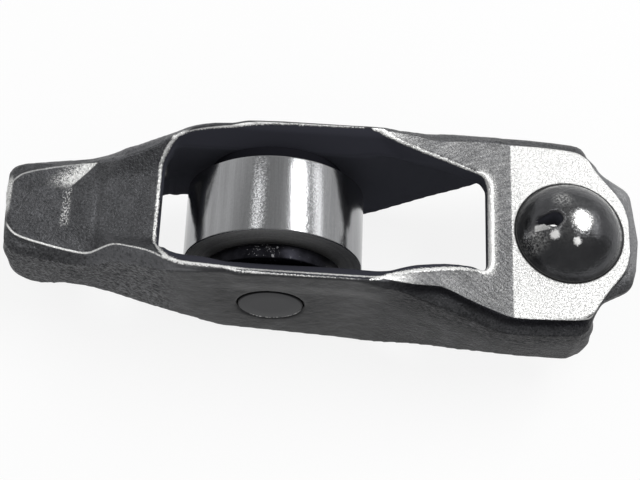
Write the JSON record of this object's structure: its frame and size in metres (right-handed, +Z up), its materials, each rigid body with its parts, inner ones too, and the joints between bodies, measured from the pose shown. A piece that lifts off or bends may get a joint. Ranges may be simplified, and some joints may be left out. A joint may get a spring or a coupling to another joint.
{
  "type": "roller rocker arm",
  "caption": "Stamped steel valve rocker arm with a domed ball socket, a see-through window and a needle-bearing cam roller on a staked axle.",
  "frame": {"origin": "centre of the cam roller, on its axle's axis", "axes": "+X along the arm from the nose to the dome, +Y across the arm along the axle, +Z up, square to the plate round the dome"},
  "size_m": [0.063, 0.0216, 0.0178],
  "materials": {
    "arm_steel": "satin, hardened, fine grain",
    "axle_steel": "satin, flush staked ends",
    "roller_steel": "ground and polished",
    "washer_steel": "dark satin",
    "needle_steel": "polished"
  },
  "bodies": {
    "arm": {"arm": "arm_steel", "roller_axle": "axle_steel", "side_washer_front": "washer_steel", "side_washer_back": "washer_steel"},
    "roller": {"roller_ring": "roller_steel"},
    "needle_row": {"needle_01": "needle_steel", "needle_02": "needle_steel", "needle_03": "needle_steel", "needle_04": "needle_steel", "needle_05": "needle_steel", "needle_06": "needle_steel", "needle_07": "needle_steel", "needle_08": "needle_steel", "needle_09": "needle_steel", "needle_10": "needle_steel", "needle_11": "needle_steel", "needle_12": "needle_steel", "needle_13": "needle_steel"}
  },
  "joints": [
    {"name": "roller_spin", "type": "hinge", "parent": "arm", "child": "roller", "pos_m": [0, 0, 0], "axis": [0, 1, 0], "continuous": true},
    {"name": "needle_orbit", "type": "hinge", "parent": "arm", "child": "needle_row", "pos_m": [0, 0, 0], "axis": [0, 1, 0], "continuous": true}
  ],
  "couplings": [
    {"joint": "needle_orbit", "follows": "roller_spin", "ratio": 0.62085}
  ]
}
